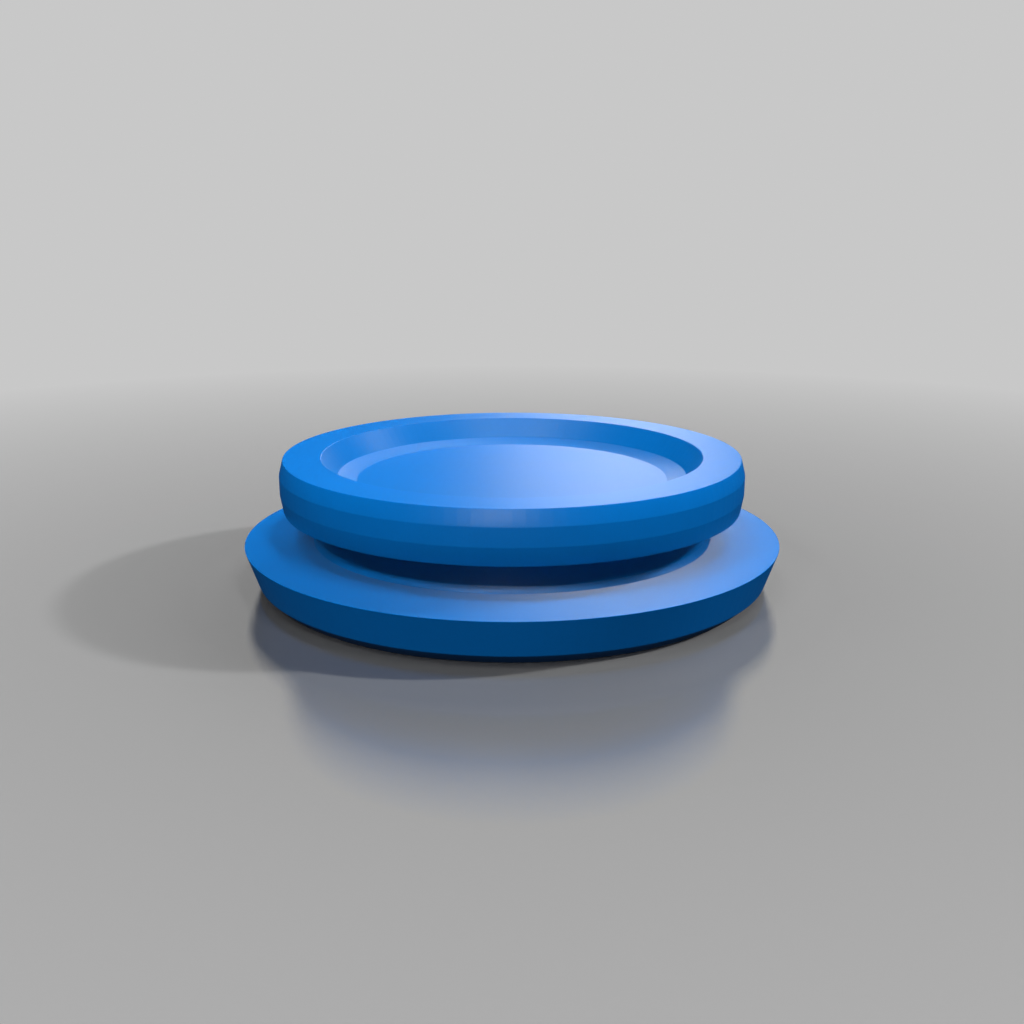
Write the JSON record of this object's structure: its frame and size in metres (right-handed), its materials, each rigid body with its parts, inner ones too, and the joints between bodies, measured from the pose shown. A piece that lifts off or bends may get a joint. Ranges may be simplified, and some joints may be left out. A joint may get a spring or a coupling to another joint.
{
  "type": "floor drain plug",
  "caption": "Round push-in plug for a drain hole in a floor panel, with a wide flared head, a grooved neck and a snap bead with a dished end.",
  "frame": {"origin": "centre of the head's flat outer face, on the plug's axis; the plug stands on this face", "axes": "+Z along the plug's axis, from the head through the neck to the dished end of the bead; +X and +Y are any two square directions, because the plug is round"},
  "size_m": [0.033, 0.033, 0.0078],
  "materials": {
    "plug": "satin"
  },
  "bodies": {
    "root": {"plug": "plug"}
  },
  "joints": []
}
